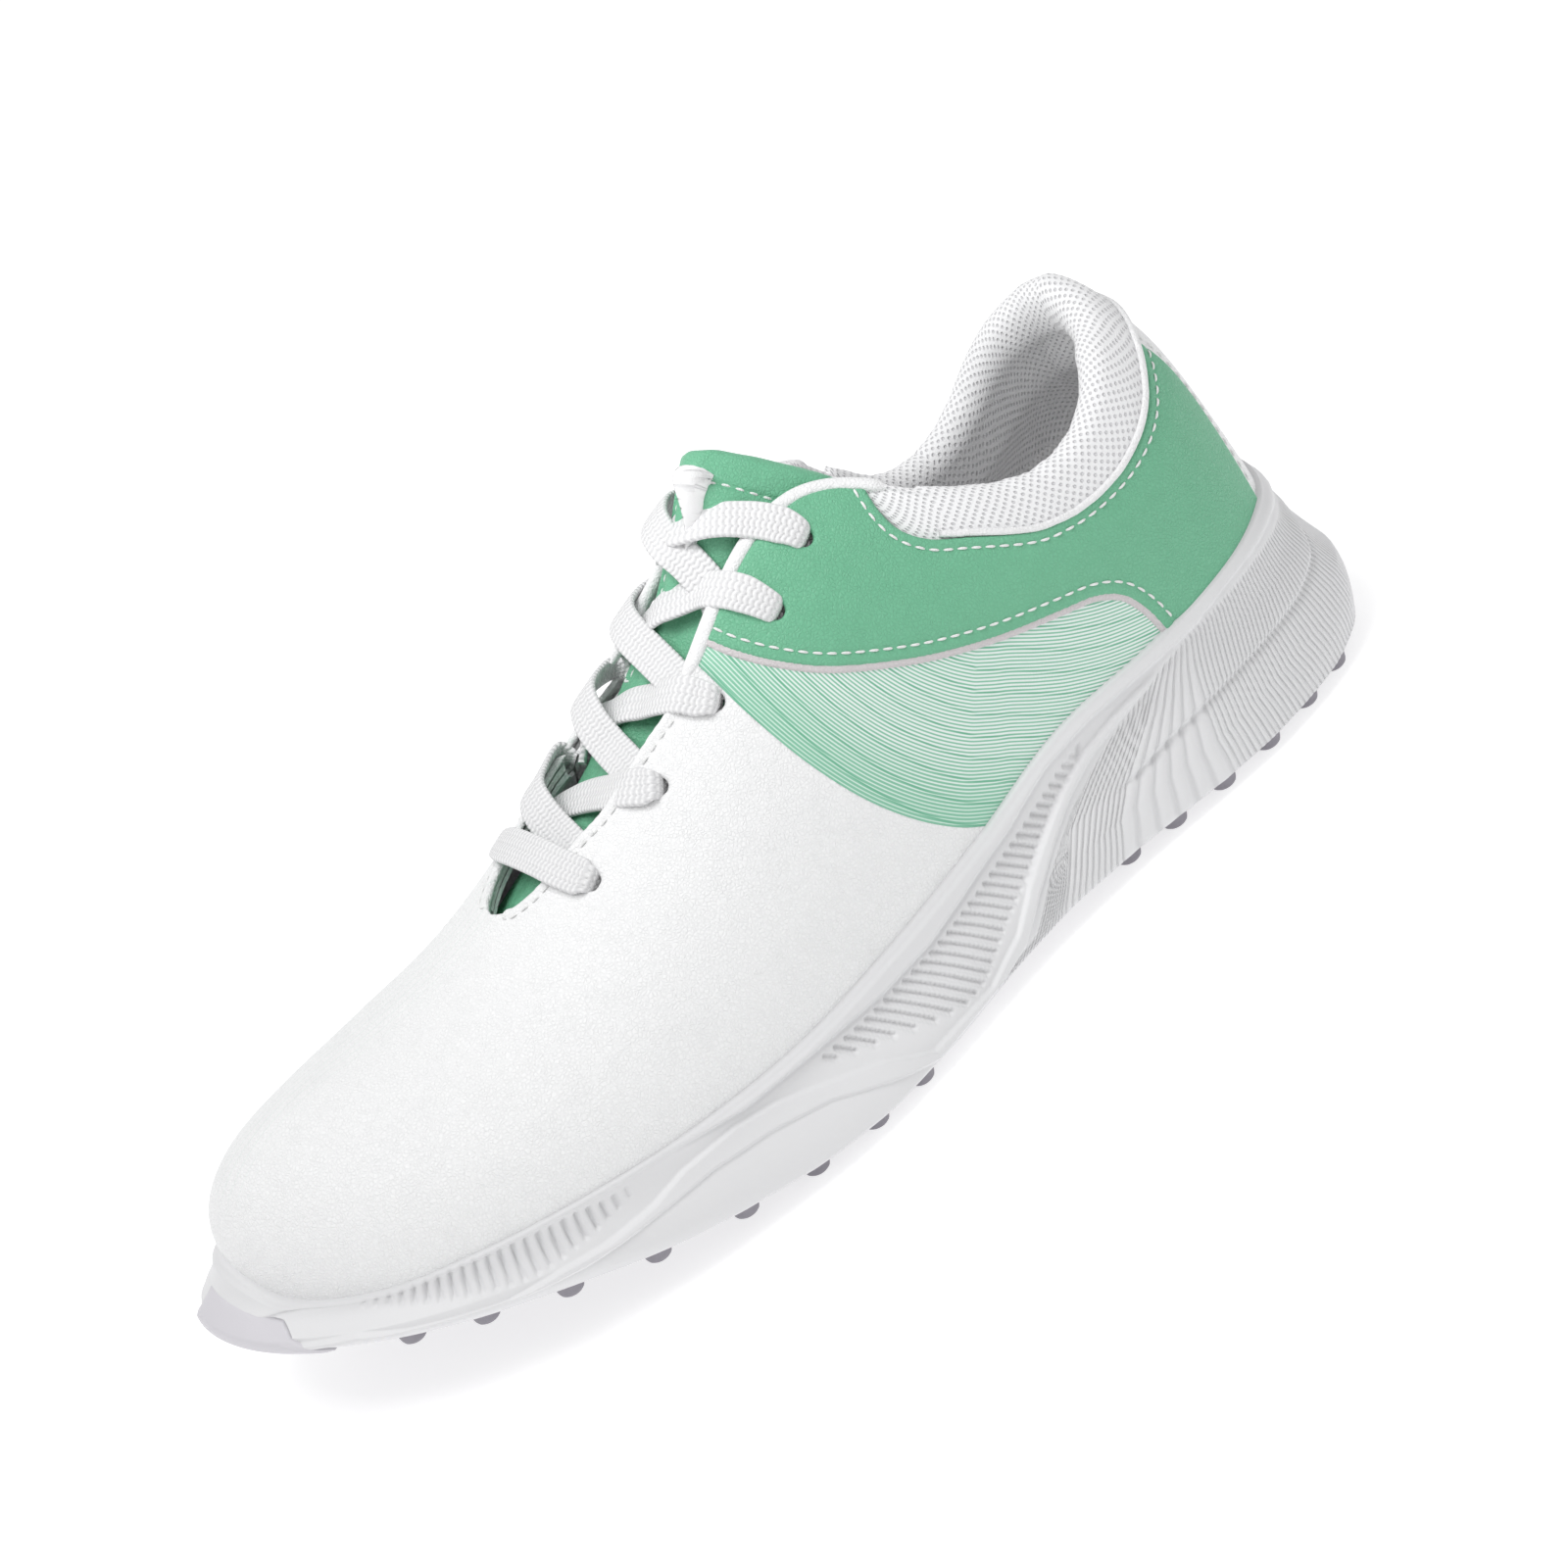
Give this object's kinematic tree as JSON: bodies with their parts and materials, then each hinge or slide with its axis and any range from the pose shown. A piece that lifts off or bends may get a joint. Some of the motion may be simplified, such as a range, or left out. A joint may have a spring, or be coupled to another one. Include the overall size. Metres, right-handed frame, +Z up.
{
  "type": "golf shoe",
  "caption": "Left golf shoe: padded collar, laced throat over a loose tongue, sculpted cup sole, lugged outsole, lift-out sockliner.",
  "frame": {"origin": "on the ground, under the middle of the shoe's length and width", "axes": "+X toward the heel along the shoe's length, -Y toward the lateral (outer) side, +Z up"},
  "size_m": [0.3002, 0.1106, 0.121],
  "materials": {
    "outsole_rubber": "moulded rubber, matt",
    "midsole_foam": "moulded EVA foam, satin",
    "strobel_board": "non-woven board",
    "sockliner": "knit-covered foam",
    "white_leather": "fine-grained coated leather",
    "printed_leather": "printed coated leather",
    "green_leather": "grained coated leather",
    "stiffener": "thermoformed board",
    "eyestay_web": "woven reinforcement",
    "lining": "knitted lining",
    "collar_mesh": "spacer mesh",
    "tongue_foam": "open-cell foam",
    "lace_webbing": "woven flat lace"
  },
  "bodies": {
    "upper": {"outsole": "outsole_rubber", "midsole": "midsole_foam", "strobel_board": "strobel_board", "vamp": "white_leather", "quarter_lateral": "printed_leather", "quarter_medial": "printed_leather", "overlay_lateral": "green_leather", "overlay_medial": "green_leather", "back_stay": "white_leather", "heel_counter": "stiffener", "toe_puff": "stiffener", "eyestay_lateral": "eyestay_web", "eyestay_medial": "eyestay_web", "vamp_lining": "lining", "quarter_lining": "lining", "collar_pad": "collar_mesh", "lace": "lace_webbing"},
    "insole": {"sockliner": "sockliner"},
    "tongue": {"tongue_face": "green_leather", "tongue_foam": "tongue_foam", "tongue_lining": "collar_mesh"}
  },
  "joints": [
    {"name": "sockliner_lift", "type": "hinge", "parent": "upper", "child": "insole", "pos_m": [-0.1354, 0, 0.0262], "axis": [0, -1, 0], "range_deg": [0, 4]},
    {"name": "tongue_drop", "type": "hinge", "parent": "upper", "child": "tongue", "pos_m": [-0.0617, 0, 0.0565], "axis": [0, 1, 0], "range_deg": [0, 6]}
  ]
}
